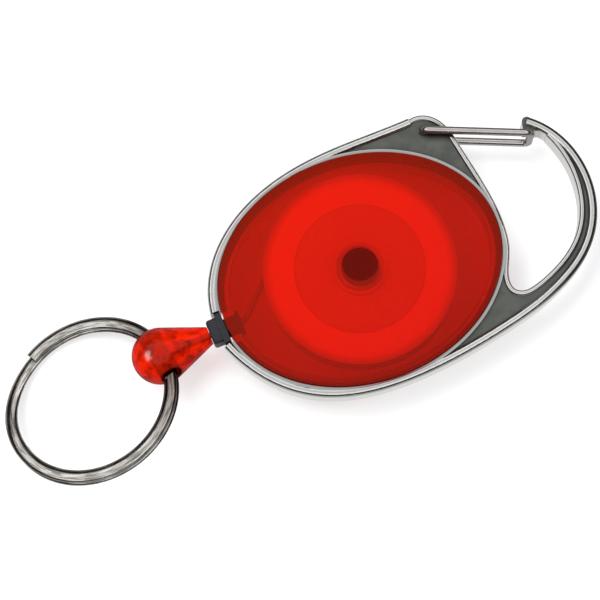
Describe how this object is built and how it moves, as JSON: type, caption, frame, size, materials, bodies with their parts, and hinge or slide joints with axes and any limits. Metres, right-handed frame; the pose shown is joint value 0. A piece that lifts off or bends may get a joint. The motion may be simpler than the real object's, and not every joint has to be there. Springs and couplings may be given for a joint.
{
  "type": "retractable badge reel",
  "caption": "Oval reel in a carabiner frame with a sprung wire gate; a cord on an inner spring spool pulls out of a grommet and ends in a swivelling teardrop holder with a split ring.",
  "frame": {"origin": "on the spool axis, at the flat rear face of the rear cover", "axes": "+X along the case's long axis towards the carabiner hook, +Y in the plane of the face towards the gate pivot corner, +Z out of the front cover"},
  "size_m": [0.0968, 0.0384, 0.0122],
  "materials": {
    "frame_chrome": "bright plated die casting, satin in the flat webs",
    "gate_steel": "bright drawn wire",
    "cover_red": "translucent red, softly frosted inside",
    "grommet_black": "moulded black",
    "arbor_dark": "dark moulded plastic",
    "screw_steel": "zinc plated",
    "plug_red": "opaque red",
    "washer_plastic": "natural low-friction plastic",
    "spool_plastic": "moulded, natural white",
    "cap_plastic": "moulded, pale grey",
    "spring_steel": "blued spring strip",
    "cord_nylon": "braided",
    "holder_red": "translucent red, glossy",
    "ring_nickel": "nickel plated"
  },
  "bodies": {
    "case": {"carabiner_frame": "frame_chrome", "front_cover": "cover_red", "rear_cover": "cover_red", "outlet_grommet": "grommet_black", "spring_arbor": "arbor_dark", "centre_screw": "screw_steel", "rear_plug": "plug_red", "rear_thrust_washer": "washer_plastic", "front_thrust_washer": "washer_plastic"},
    "gate": {"wire_gate": "gate_steel"},
    "spool": {"spool_drum": "spool_plastic", "spool_cap": "cap_plastic", "mainspring": "spring_steel", "cord_coil": "cord_nylon", "cord_anchor_knot": "cord_nylon"},
    "cord_end": {"cord_lead": "cord_nylon", "cord_stop_knot": "cord_nylon"},
    "end_fitting": {"ring_holder": "holder_red"},
    "key_ring": {"split_ring": "ring_nickel"}
  },
  "joints": [
    {"name": "gate_swing", "type": "hinge", "parent": "case", "child": "gate", "pos_m": [0.0167, 0.0168, 0.0065], "axis": [0, 0, -1], "range_deg": [0, 32], "stiffness_Nm_per_rad": 0.03, "springref_deg": -20.05},
    {"name": "cord_pull", "type": "slide", "parent": "case", "child": "cord_end", "axis": [-0.9993, -0.0384, 0], "range_m": [0, 0.55], "stiffness_N_per_m": 1, "springref_m": -0.5, "deforming": ["cord_lead"]},
    {"name": "spool_turn", "type": "hinge", "parent": "case", "child": "spool", "pos_m": [0, 0, 0.0061], "axis": [0, 0, 1], "range_deg": [0, 2620], "deforming": ["mainspring", "cord_lead"]},
    {"name": "holder_swivel", "type": "hinge", "parent": "cord_end", "child": "end_fitting", "pos_m": [-0.03296, -0.00152, 0.0065], "axis": [-0.9993, -0.0384, 0], "continuous": true},
    {"name": "ring_swing", "type": "hinge", "parent": "end_fitting", "child": "key_ring", "pos_m": [-0.03296, -0.00152, 0.0065], "axis": [0.1684, -0.9178, 0.3596], "range_deg": [-75, 75]}
  ],
  "couplings": [
    {"joint": "spool_turn", "follows": "cord_pull", "rad_per_m": 82.9}
  ]
}
